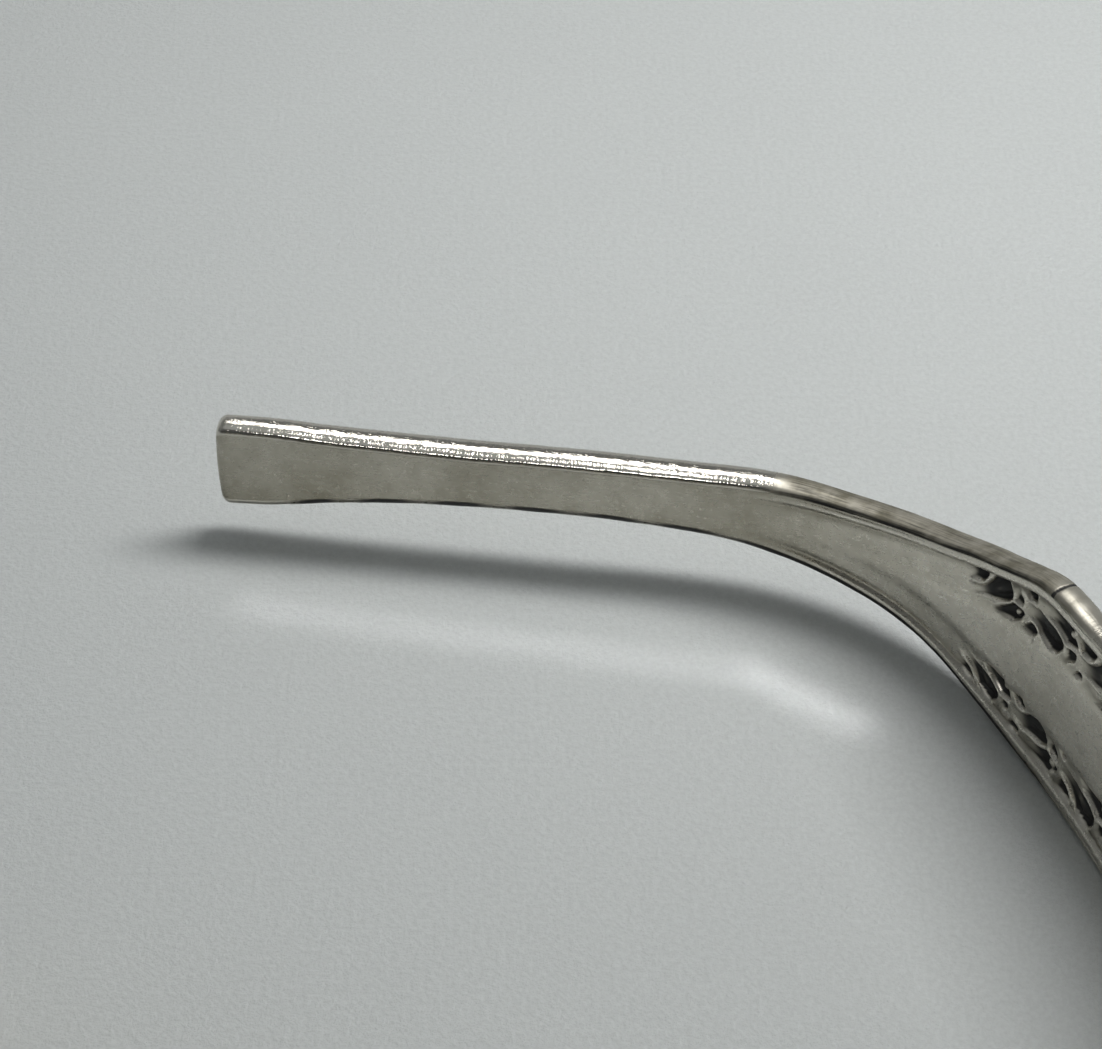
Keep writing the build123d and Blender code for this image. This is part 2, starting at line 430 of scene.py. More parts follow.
# Distances into a cell: where its wall starts, and the places and spreads of its lip and its wear
WALL_START = -0.02
LIP = (-0.06, 0.07)
LIP_WEAR = (-0.04, 0.10)

# Shares of a floor's depth over which the lip and its wear come in, and heights of a worn pearl
LIP_FADES = (0.0, 0.4)
WEAR_FADES = (0.05, 0.5)
PEARL_WEAR = (0.1, 0.3)

# Depth at which a hollow starts to darken, and the share of the full depth where it is black
DARK_START = 0.02
DARK_SHARE = 0.88

# Distances along the band between which the rim's lines, the sunk border and its grime come in
RIM_STARTS = (24.0, 32.0)
BORDER_SINKS = (26.0, 41.0)
BORDER_DARKENS = (34.0, 42.0)

# Distances from the edge, and from the panel's outline, between which each part comes in
BORDER_INSIDE = (0.84, 1.12)
BORDER_OUTSIDE = (-0.42, 0.2)
PANEL_SINKS = (0.76, 1.05)
PANEL_DARKENS = (0.9, 1.3)
LIPS_START = (0.45, 0.7)

# How far before the tip the panel's rounded end has its middle, and its gap to the border
PANEL_END = 2.8
PANEL_GAP = 0.05

# Waves by which the hand-chased leaves wander along and across the band, and how their phase
# differs between the two faces and the two borders
WANDER_ALONG = ((0.05, 0.9, 1.0), (0.02, 2.7, 0.0))
WANDER_ACROSS = ((0.03, 1.3, 2.0),)
FACE_PHASE = 1.7
BORDER_PHASE = 0.6

# How wide the border has grown, by distance along the band
BORDER_GROWTH = ((22.0, 39.0, 54.0), (0.1, 0.66, 1.0))

# Lines along the rim: distance from the edge, spread, and depth, darkness or polish
Line = namedtuple("Line", "middle spread amount")
BEAD_GROOVE = Line(0.46, 0.09, 0.06)
BORDER_GROOVE = Line(1.06, 0.2, 0.07)
BORDER_GRIME = Line(1.10, 0.24, 0.24)
PANEL_GRIME = Line(0.0, 0.35, 0.16)
BEAD_POLISH = Line(0.72, 0.14, 0.35)
GROUND_GRIME = 0.25
RIDGE_POLISH = 0.5


def line(gap, row):
    """Soft line at one distance from an edge."""
    return row.amount * bell(gap, row.middle, row.spread)


def softened(values):
    """Values blended with their neighbours, so that steps between points don't show."""
    soft = values.copy()
    soft[..., 1:-1] = values[..., 1:-1] * 0.5 + (values[..., 2:] + values[..., :-2]) * 0.25
    if values.ndim > 1:
        soft[1:-1] = soft[1:-1] * 0.5 + (soft[2:] + soft[:-2]) * 0.25
    return soft


class Relief:
    """The sunk borders and the palmette, as depths below a face."""

    def __init__(self, size, band):
        self.size, self.band = size, band
        self.border_cells = self._border_cells()
        self.tip_cells = self._tip_cells()

    def _border_cells(self):
        """Cells of one border by distance and by offset from the band's edge."""
        cells = []
        distance = self.band.forearm_length - FIRST_LEAF_SETBACK
        count = 0
        while distance + self.size.pitch < self.band.tip_start:
            scale = FIRST_LEAF_SCALE + (1 - FIRST_LEAF_SCALE) * min(1.0, count / GROWING_LEAVES)
            distance += self.size.pitch * scale
            for cell in MOTIF:
                cells.append(self._moved(cell, distance, scale, count % 2 == 0))
            count += 1
        return cells

    def _moved(self, cell, distance, scale, leans_out):
        def point(place):
            across = place[1] if leans_out else self.size.border_width - place[1]
            return (distance + place[0] * scale, self.size.rim_width + across * scale)

        return Cell(
            point(cell.bulb),
            point(cell.tail),
            cell.bulb_radius * scale,
            cell.tail_radius * scale,
            cell.bow * scale * (1 if leans_out else -1),
            cell.pearl * scale,
        )

    def _fan_point(self, reach, share):
        """Point at a distance from the fan's foot, by its share of the way round the fan."""
        turn = self.size.palmette_spread * (share - 0.5)
        return (self.band.tip_start + reach * cos(turn), reach * sin(turn))

    def _tip_cells(self):
        """The palmette and the borders' last cells, by distance and by height from the middle."""
        half = self.band.size.blade_width / 2
        reach, gaps = self.size.palmette_radius, self.size.palmette_leaves - 1
        cells = []
        for index in range(gaps + 1):
            bulb = self._fan_point(reach, index / gaps)
            foot = self._fan_point(FAN_FOOT, index / gaps)
            cells.append(Cell(bulb, foot, FAN_BULB_RADIUS, FAN_TAIL_RADIUS, 0.0, 0.0))
        for index in range(gaps):
            middle = self._fan_point(reach + FAN_PEARL_LEAD, (index + 0.5) / gaps)
            radius = FAN_PEARL_CELL
            cells.append(Cell(middle, middle, radius, radius, 0.0, FAN_PEARL_RADIUS))
        for cell in self.border_cells[-len(MOTIF) :]:
            for way in (1, -1):
                bulb = (cell.bulb[0], way * (half - cell.bulb[1]))
                tail = (cell.tail[0], way * (half - cell.tail[1]))
                cells.append(cell._replace(bulb=bulb, tail=tail, bow=-way * cell.bow))
        return cells

    def _drop_distance(self, x, y, cell):
        """Signed distance to a drop's outline, negative inside, and the share of the way along."""
        run_x, run_y = cell.tail[0] - cell.bulb[0], cell.tail[1] - cell.bulb[1]
        span = max(np.hypot(run_x, run_y), 1e-6)
        middle_x = (cell.bulb[0] + cell.tail[0]) / 2 - run_y / span * cell.bow
        middle_y = (cell.bulb[1] + cell.tail[1]) / 2 + run_x / span * cell.bow
        round_cell = cell.bulb_radius == cell.tail_radius
        nearest = np.full(x.shape, np.inf)
        for t in (0.0,) if round_cell else np.linspace(0.0, 1.0, DROP_STEPS + 1):
            near, half_way, far = (1 - t) ** 2, 2 * t * (1 - t), t * t
            centre_x = near * cell.bulb[0] + half_way * middle_x + far * cell.tail[0]
            centre_y = near * cell.bulb[1] + half_way * middle_y + far * cell.tail[1]
            radius = cell.bulb_radius + (cell.tail_radius - cell.bulb_radius) * t**DROP_TAPER
            nearest = np.minimum(nearest, np.hypot(x - centre_x, y - centre_y) - radius)
        if round_cell:
            return nearest, np.zeros(x.shape)
        along = ((x - cell.bulb[0]) * run_x + (y - cell.bulb[1]) * run_y) / span**2
        return nearest, along + BULB_LEAD * cell.bulb_radius / span

    def _carve(self, x, y, cells, room):
        """Depth of the cells, their lips' height, how dark each point is, and how worn.

        Room is each point's distance inside the border, where hollows may spread.
        """
        size = self.size
        shape = x.shape
        x, y, room = x.ravel(), y.ravel(), np.broadcast_to(room, shape).ravel()
        nearest, second = np.full(x.shape, FAR_OFF), np.full(x.shape, FAR_OFF)
        floor, pearl, flat_floor = np.ones(x.shape), np.zeros(x.shape), np.ones(x.shape)
        for cell in cells:
            reach = np.hypot(cell.tail[0] - cell.bulb[0], cell.tail[1] - cell.bulb[1])
            reach += 2 * cell.bulb_radius + CELL_MARGIN
            near = (abs(x - cell.bulb[0]) < reach) & (abs(y - cell.bulb[1]) < reach)
            if not near.any():
                continue
            gap, along = self._drop_distance(x[near], y[near], cell)
            cell_floor = np.clip(FLOOR_START - along, 0.0, 1.0) ** FLOOR_FALL
            closer = gap < nearest[near]
            second[near] = np.where(closer, nearest[near], np.minimum(second[near], gap))
            nearest[near] = np.where(closer, gap, nearest[near])
            floor[near] = np.where(closer, cell_floor, floor[near])
            if cell.pearl > 0:
                from_middle = np.hypot(x[near] - cell.bulb[0], y[near] - cell.bulb[1])
                inside = np.clip(1 - (from_middle / cell.pearl) ** 2, 0.0, 1.0)
                pearl[near] = np.maximum(pearl[near], cell.pearl * np.sqrt(inside))
                beside = ramp(from_middle - cell.pearl, *PEARL_SURROUND)
                flat_floor[near] = np.minimum(flat_floor[near], beside)
        spread = np.minimum(size.cell_spread, ROOM_SHARE * np.clip(room, 0.0, None))
        inside = np.minimum(spread - nearest, (second - nearest - size.ridge_width) / 2)
        inside = np.minimum(inside, np.maximum(-nearest, room))
        moat_end = size.wall_width + size.moat_width
        body = ramp(inside, moat_end, moat_end + size.body_slope) * flat_floor
        hollow = ramp(inside, WALL_START, size.wall_width) * floor * (1 - size.body_share * body)
        depth = size.depth * hollow - pearl * PEARL_RISE
        rise = size.ridge_height * bell(inside, *LIP) * ramp(floor, *LIP_FADES)
        dark = ramp(size.depth * hollow - pearl, DARK_START, size.depth * DARK_SHARE)
        worn = bell(inside, *LIP_WEAR) * ramp(floor, *WEAR_FADES) + ramp(pearl, *PEARL_WEAR)
        return [values.reshape(shape) for values in (depth, rise, dark, worn)]

    def at(self, distance, height, half_width, edge_gap, side, on_tip=False):
        """How sunk and how dark a face is, by distance, height and the gap to the edge."""
        size, band = self.size, self.band
        phase = side * FACE_PHASE + np.sign(height) * BORDER_PHASE
        border_width = size.border_width * np.interp(distance, *BORDER_GROWTH)
        past_end = np.clip(distance - (band.tip_start - PANEL_END), 0.0, None)
        panel_half = half_width - size.rim_width - border_width + PANEL_GAP
        panel_gap = np.hypot(past_end, height) - panel_half
        room = np.minimum(edge_gap - ROOM_STARTS[0], panel_gap - ROOM_STARTS[1])
        if on_tip:
            depth, rise, dark, worn = self._carve(distance, height, self.tip_cells, room)
        else:
            along = distance + waves(WANDER_ALONG, distance, phase)
            offset = half_width - abs(height) + waves(WANDER_ACROSS, distance, phase)
            depth, rise, dark, worn = self._carve(along, offset, self.border_cells, room)
        started, sunk_in = ramp(distance, *RIM_STARTS), ramp(distance, *BORDER_SINKS)
        in_border = ramp(edge_gap, *BORDER_INSIDE) * ramp(panel_gap, *BORDER_OUTSIDE)
        ground = size.ground_depth * sunk_in * in_border
        ground = ground + size.panel_depth * started * ramp(edge_gap, *PANEL_SINKS)
        ground = ground + (line(edge_gap, BEAD_GROOVE) + line(edge_gap, BORDER_GROOVE)) * started
        grime = GROUND_GRIME * in_border * ramp(distance, *BORDER_DARKENS)
        grime = grime + line(edge_gap, BORDER_GRIME) * started
        grime = grime + line(panel_gap, PANEL_GRIME) * sunk_in * ramp(edge_gap, *PANEL_DARKENS)
        polish = RIDGE_POLISH * worn + line(edge_gap, BEAD_POLISH) * started
        lips = rise * ramp(edge_gap, *LIPS_START) * in_border
        return softened(depth + ground - lips), np.clip(dark + grime - polish, -0.5, 1.0)


# Meshes

# Steps of points round a section, from the middle of an edge to the middle of a face
CROWN_STEPS = 3
CORNER_STEPS = 6
BEFORE_FACE = CROWN_STEPS + CORNER_STEPS
RIM_STEPS = 6
BORDER_STEPS = 44
PANEL_STEPS = 8
# Distances from the edge between which those steps on a face lie, on a section of full width
FULL_HALF_WIDTH = 6.6
COLUMN_STARTS = (0.45, 1.0, 4.05, FULL_HALF_WIDTH)


def face_shares():
    """Where a face's columns lie, as shares of the way from the corner to the middle."""
    counts = (RIM_STEPS, BORDER_STEPS, PANEL_STEPS)
    offsets = [
        np.linspace(start, end, count + 1)[1:]
        for start, end, count in zip(COLUMN_STARTS, COLUMN_STARTS[1:], counts)
    ]
    return (np.concatenate(offsets) - COLUMN_STARTS[0]) / (FULL_HALF_WIDTH - COLUMN_STARTS[0])


def quarter_section(half_width, half_thickness, corner, crown, shares):
    """Outward and height of points from the middle of an edge over a corner to that of a face.

    The sizes are columns, one value for each section, and the points lie along the rows.
    """
    turned = np.linspace(0.0, 1.0, CROWN_STEPS + 1)[None, :] * crown
    crown_end = half_thickness - corner * (1 - np.sin(crown))
    crown_radius = crown_end / np.sin(crown)
    crown_out = crown_radius * np.sin(turned)
    crown_height = half_width - crown_radius * (1 - np.cos(turned))
    middle = half_width - crown_radius * (1 - np.cos(crown)) - corner * np.cos(crown)
    swept = crown + (pi / 2 - crown) * np.linspace(0.0, 1.0, CORNER_STEPS + 1)[None, 1:]
    corner_out = half_thickness - corner + corner * np.sin(swept)
    corner_height = middle + corner * np.cos(swept)
    face_height = middle * (1 - shares[None, :])
    face_out = half_thickness + np.zeros_like(face_height)
    out = np.concatenate([crown_out, corner_out, face_out], axis=1)
    height = np.concatenate([crown_height, corner_height, face_height], axis=1)
    return out, height


def whole_ring(quarter, signs):
    """Full rings from four quarters: from the top by the outer face, bottom and inner face."""
    top_out, bottom_out, bottom_in, top_in = [quarter[i] * signs[i] for i in range(4)]
    return np.concatenate(
        [top_out[:, :-1], bottom_out[:, :0:-1], bottom_in[:, :-1], top_in[:, :0:-1]], axis=1
    )


def mesh_object(name, points, faces, uvs, attributes, sharp):
    """Mesh object from points in millimetres, faces, a UV for each corner and attributes."""
    mesh = bpy.data.meshes.new(name)
    mesh.from_pydata((np.asarray(points) * MM).tolist(), [], faces)
    mesh.update()
    layer = mesh.uv_layers.new(name="OFBake")
    layer.data.foreach_set("uv", np.asarray(uvs, np.float32).ravel())
    for attribute, values in attributes.items():
        values = np.asarray(values, np.float32)
        kind = "FLOAT_VECTOR" if values.ndim == 2 else "FLOAT"
        made = mesh.attributes.new(attribute, kind, "POINT")
        made.data.foreach_set("vector" if values.ndim == 2 else "value", values.ravel())
    flat = np.zeros(len(mesh.polygons), bool)
    flat[list(sharp)] = True
    mesh.polygons.foreach_set("use_smooth", ~flat)
    for index in sharp:
        for corner in mesh.polygons[index].loop_indices:
            mesh.edges[mesh.loops[corner].edge_index].use_edge_sharp = True
    if mesh.validate():
        raise ValueError(f"{name} has faces that Blender had to mend")
    made = bpy.data.objects.new(name, mesh)
    bpy.context.scene.collection.objects.link(made)
    return made


class GirthMesh:
    """Collects rings of points into one closed mesh with its UVs and attributes."""

    def __init__(self):
        self.points, self.faces, self.uvs, self.flat = [], [], [], []
        # Sunk is how dark a point is: patina in the relief, and painted shade along the long corners
        self.values = {"place": [], "sunk": [], "edge": []}
        self.count = 0

    def add_points(self, points, place, sunk, edge):
        """Add points with their attributes, and tell the number of the first one."""
        first, shape = self.count, points.shape[:-1]
        self.points.append(points.reshape(-1, 3))
        self.values["place"].append(place.reshape(-1, 3))
        self.values["sunk"].append(np.broadcast_to(sunk, shape).ravel())
        self.values["edge"].append(np.broadcast_to(edge, shape).ravel())
        self.count += len(self.points[-1])
        return first

    def add_face(self, corners, uvs, flat=False):
        if flat:
            self.flat.append(len(self.faces))
        self.faces.append(corners)
        self.uvs.extend(uvs)

    def add_strip(self, near, far, near_uvs, far_uvs):
        """Add the quads between two rows of points."""
        corners = zip(near, near[1:], far[1:], far)
        uvs = zip(near_uvs, near_uvs[1:], far_uvs[1:], far_uvs)
        for quad, quad_uvs in zip(corners, uvs):
            self.add_face(quad, quad_uvs)

    def build(self, name):
        values = {key: np.concatenate(parts) for key, parts in self.values.items()}
        return mesh_object(
            name, np.concatenate(self.points), self.faces, self.uvs, values, self.flat
        )


# Where the long strip of UVs ends, its margins, and the half width of a cap's patch
STRIP_END = 0.93
STRIP_MARGIN = (0.002, 0.004)
CAP_UV = 0.03


def rows_between(start, end, spacing):
    """Evenly spaced distances from start to end, both kept."""
    return np.linspace(start, end, max(int(round((end - start) / spacing)), 1) + 1)


def cap_uvs(out, height, which):
    """UVs of a flat cap in its own small patch at the end of the strip."""
    scale = CAP_UV / (2 * FULL_HALF_WIDTH)
    centre = ((STRIP_END + 1) / 2, 0.25 + 0.5 * which)
    return [(centre[0] + o * scale, centre[1] + h * scale) for o, h in zip(out, height)]


CUT_END_STEPS = 8
CUT_THINNESS = 0.62
QUARTERS = (
    ("top_outer", 1, 1),
    ("bottom_outer", -1, 1),
    ("bottom_inner", -1, -1),
    ("top_inner", 1, -1),
)
LARGEST_CORNER = 0.85

# How much rounder each long corner is on the forearm, and where that ends
CORNER_BREADTH = {"top_outer": 1.3, "bottom_outer": 1.7, "bottom_inner": 2.3, "top_inner": 1.0}
FOREARM_CORNERS_END = (30.0, 44.0)

# How black the painted shade is along the line where each long corner meets its face, standing in
# for the shadowed floor mirrored there, and where it starts and ends
CORNER_SHADE = {"top_outer": 0.25, "bottom_outer": 0.3, "bottom_inner": 0.85, "top_inner": 0.3}
CORNER_SHADE_START = (1.2, 5.0)
CORNER_SHADE_END = (41.0, 50.0)
CORNER_SHADE_SWING = 0.2
CORNER_SHADE_PACE = 1.7

# Columns beside the meeting of a corner and its face, and how strong the painted shade line is on
# each. The first column of a face is in part edge.
CORNER_SHADE_COLUMNS = ((-4, 0.25), (-3, 0.75), (-2, 1.0), (-1, 1.0), (0, 0.7), (1, 0.3))
EDGE_BLEND = 0.55


def corner_size(size, name, distance):
    """Rounding of one long corner, which is broader along the forearm."""
    forearm = 1 - ramp(distance, *FOREARM_CORNERS_END)
    return size.corner_radius * (1 + (CORNER_BREADTH[name] - 1) * forearm)


def painted_corner_shade(name, distance):
    """Painted shade along the line where a corner meets its face, which fades at the blade."""
    fades = ramp(distance, *CORNER_SHADE_START) * (1 - ramp(distance, *CORNER_SHADE_END))
    uneven = 1 - CORNER_SHADE_SWING + CORNER_SHADE_SWING * np.sin(CORNER_SHADE_PACE * distance)
    return CORNER_SHADE[name] * fades * uneven


# How far the dull stretch of the top edge leans away from the inside of the bend, and how far
# the shoulder's edge was dressed down with a file, with the distances where each comes and goes
Stretch = namedtuple("Stretch", "amount start end")
EDGE_LEAN = Stretch(0.16, (26.0, 31.0), (41.0, 45.0))
EDGE_FALL = Stretch(0.26, (43.8, 46.8), (50.0, 58.0))

# Heights below the top of the edge between which the lean and the nick fade
LEAN_FADE = (1.1, 0.1)
NICK_FADE = (0.42, 0.18)

# Hairline nick across the top edge
NICK_DISTANCE = 44.2
NICK_DEPTH = 0.05
NICK_WIDTH = 0.07

# How far the cut end's top and bottom stand back, how far it is dished, and where that ends
END_BULGE = 0.09
END_DISH = 0.02
END_BULGE_REACH = 2.0

# Rings of the cut end's face, as shares of its outline, and its offset in the scratches' pattern
END_RINGS = (0.75, 0.5, 0.25, 0.0)
END_PATTERN = 3.0


def over(stretch, distance):
    """Amount of a change that comes in and goes out again along the band."""
    comes, goes = ramp(distance, *stretch.start), ramp(distance, *stretch.end)
    return stretch.amount * comes * (1 - goes)


# Slight unevenness of the hand-finished edges and faces, which is slanted on the faces
HAND_WAVES = ((0.010, 0.83, 1.0), (0.007, 1.9, 2.3), (0.004, 4.7, 1.1))
TOP_SEED, BOTTOM_SEED, FACE_SEED = 0.4, 2.1, 3.3
FACE_WAVE_SLANT = (0.8, 1.3)
FACE_WAVE_SHARE = 0.5


def relief_rings(band, relief, distance, half_width, half_thickness):
    """Rings with the relief sunk in: outward, height, how dark a point is with patina and painted
    shade, and how much edge it is.
    """
    outs, heights, darks = [], [], []
    for corner_name, height_sign, side in QUARTERS:
        largest = half_thickness * LARGEST_CORNER
        corner = np.minimum(corner_size(band.size, corner_name, distance), largest)
        crown = band.size.edge_crown
        out, height = quarter_section(half_width, half_thickness, corner, crown, face_shares())
        edge_gap = half_width - height
        sink, dark = relief.at(distance, height * height_sign, half_width, edge_gap, side)
        on_face = (np.arange(height.shape[1]) >= BEFORE_FACE).astype(float)
        dark = dark * on_face
        # Painted shade along the line where each corner meets its face
        for column, amount in CORNER_SHADE_COLUMNS:
            dark[:, BEFORE_FACE + column] += amount * painted_corner_shade(corner_name, distance)[:, 0]
        outs.append(out - sink * on_face)
        heights.append(height)
        darks.append(dark)
    on_edge = 1 - on_face[None, :]
    on_edge[0, BEFORE_FACE] = EDGE_BLEND
    return (
        whole_ring(outs, (1, 1, -1, -1)),
        whole_ring(heights, (1, -1, -1, 1)),
        whole_ring(darks, (1, 1, 1, 1)),
        whole_ring([on_edge] * 4, (1, 1, 1, 1)),
    )


def way_round(ring_out, ring_height):
    """Distance round the ring from the middle of the top edge, the shorter way."""
    steps = np.hypot(*[np.roll(part, -1, axis=1) - part for part in (ring_out, ring_height)])
    girth = np.cumsum(steps, axis=1)
    return np.minimum(girth - steps, girth[:, -1:] - girth + steps)


def hand_finished(distance, ring_out, ring_height, half_width, half_thickness):
    """Outward and height of points on edges that lean, dip, waver and have the nick."""
    lean_share = ramp(ring_height, half_width - LEAN_FADE[0], half_width - LEAN_FADE[1])
    lean = over(EDGE_LEAN, distance) * lean_share * (ring_out / half_thickness * 0.5 + 0.5)
    dip = over(EDGE_FALL, distance) * ramp(ring_height, 0.0, half_width)
    nick = NICK_DEPTH * bell(distance, NICK_DISTANCE, NICK_WIDTH)
    nick = nick * ramp(ring_height, half_width - NICK_FADE[0], half_width - NICK_FADE[1])
    top_wave, bottom_wave = [
        abs(waves(HAND_WAVES, distance, seed)) * ramp(way * ring_height, 0.0, half_width)
        for seed, way in ((TOP_SEED, 1), (BOTTOM_SEED, -1))
    ]
    slant = FACE_WAVE_SLANT[0] * distance + FACE_WAVE_SLANT[1] * ring_height
    face_wave = abs(waves(HAND_WAVES, slant, FACE_SEED)) * FACE_WAVE_SHARE
    height = ring_height - lean - dip - nick - top_wave + bottom_wave
    return ring_out - np.sign(ring_out) * face_wave, height


def build_girth(name, band, relief, distances, cut_end=False):
    """One stretch of the band between two distances, closed by a cap at each end."""
    size = band.size
    distance = np.asarray(distances)[:, None]
    inset = np.zeros_like(distance)
    if cut_end:
        turn = np.linspace(pi / 2, 0.0, CUT_END_STEPS + 1)[:-1, None]
        distance = np.concatenate([size.cut_rounding * (1 - np.sin(turn)), distance])
        inset = np.concatenate([size.cut_rounding * (1 - np.cos(turn)), inset])
    half_width = band.half_width(distance) - inset
    half_thickness = band.half_thickness(distance) - inset * CUT_THINNESS
    middle_height = band.middle_height(distance)
    ring_out, ring_height, ring_patina_and_shade, ring_edge = relief_rings(
        band, relief, distance, half_width, half_thickness
    )
    rows, columns = ring_out.shape
    out, height = hand_finished(distance, ring_out, ring_height, half_width, half_thickness)
    height = middle_height + height
    along, from_top = distance, way_round(ring_out, ring_height)
    place = stacked(distance, from_top, np.sign(ring_out))
    if cut_end:
        fades = 1 - ramp(distance, 0.0, END_BULGE_REACH)
        along = along + END_BULGE * (ring_height / half_width) ** 2 * fades
    made = GirthMesh()
    made.add_points(band.place(along, out, height), place, ring_patina_and_shade, ring_edge)
    low, high = distance[0, 0], distance[-1, 0]
    u = (distance[:, 0] - low) / (high - low) * STRIP_END + STRIP_MARGIN[0]
    v = np.linspace(STRIP_MARGIN[1], 1 - STRIP_MARGIN[1], columns + 1)
    for i in range(rows - 1):
        base, above = i * columns, (i + 1) * columns
        for j in range(columns):
            k = (j + 1) % columns
            made.add_face(
                (base + j, above + j, above + k, base + k),
                ((u[i], v[j]), (u[i + 1], v[j]), (u[i + 1], v[j + 1]), (u[i], v[j + 1])),
            )
    if cut_end:
        close_cut_end(made, band, ring_out[0], ring_height[0], middle_height[0, 0])
    else:
        first = np.arange(columns)
        made.add_face(first.tolist(), cap_uvs(ring_out[0], ring_height[0], 0), flat=True)
    last = np.arange(columns)[::-1]
    last_uvs = cap_uvs(ring_out[-1, last], ring_height[-1, last], 1)
    made.add_face(((rows - 1) * columns + last).tolist(), last_uvs, flat=True)
    return made.build(name)


def close_cut_end(made, band, ring_out, ring_height, middle_height):
    """Slightly domed end face, in rings that shrink to a point."""
    half = abs(ring_height).max()
    ring, ring_uvs = list(range(len(ring_out))), cap_uvs(ring_out, ring_height, 0)
    for shrink in END_RINGS:
        outer, outer_uvs = [*ring, ring[0]], [*ring_uvs, ring_uvs[0]]
        out, height = ring_out * shrink, ring_height * shrink
        if shrink == 0.0:
            out, height = out[:1], height[:1]
        station = END_BULGE * (height / half) ** 2 - END_DISH * (1 - shrink)
        points = band.place(station, out, middle_height + height)
        first = made.add_points(points, stacked(station, out, END_PATTERN), 0.0, 0.0)
        ring, ring_uvs = [first + j for j in range(len(out))], cap_uvs(out, height, 0)
        if shrink > 0.0:
            made.add_strip([*ring, ring[0]], outer, [*ring_uvs, ring_uvs[0]], outer_uvs)
            continue
        for j in range(len(ring_out)):
            corner_uvs = (ring_uvs[0], outer_uvs[j + 1], outer_uvs[j])
            made.add_face((ring[0], outer[j + 1], outer[j]), corner_uvs)


TIP_ARC_STEPS = 190
TIP_FACE_STEPS = 62

# Where each face's patch of UVs starts, the size of those patches, the strip of the edge by its
# start and length both ways, and the middle and radius of the cap's circle
FACE_PATCH = {1: 0.02, -1: 0.5}
PATCH_WIDTH = 0.46
PATCH_LOW = 0.36
PATCH_HALF = 0.3
EDGE_STRIP = ((0.02, 0.96), (0.03, 0.25))
CAP_MIDDLE = (0.975, 0.95)
CAP_RADIUS = 0.01

# Offsets of the tip's pattern of scratches, so that it differs from face to edge
FACE_PATTERN = 20.0
EDGE_PATTERN = 50.0

# How far from the rolled edge the relief starts, and the least cosine of a slanting ray
RELIEF_START = 0.1
LEAST_FACING = 0.2


def rolled_edge(size):
    """Outward and inset of points from one face round the tip's edge to the other one."""
    half_width, half_thickness = size.blade_width / 2, size.blade_thickness / 2
    out, height = quarter_section(
        half_width, half_thickness, size.corner_radius, size.edge_crown, np.zeros(0)
    )
    out, inset = out[0, ::-1], half_width - height[0, ::-1]
    rolled_out = np.concatenate([out[1:], -out[-2:0:-1]])
    rolled_inset = np.concatenate([inset[1:], inset[-2:0:-1]])
    return rolled_out, rolled_inset, inset[0]


def tip_outline(size):
    """Outline of the tip from its foot, and the directions that point out of it."""
    turn = np.linspace(-pi / 2, pi / 2, TIP_ARC_STEPS + 1)
    reach = np.array([size.tip_length, size.blade_width / 2])
    outline = stacked(np.cos(turn), np.sin(turn)) * reach
    normal = outline / reach**2
    return outline, normal / np.linalg.norm(normal, axis=-1, keepdims=True)


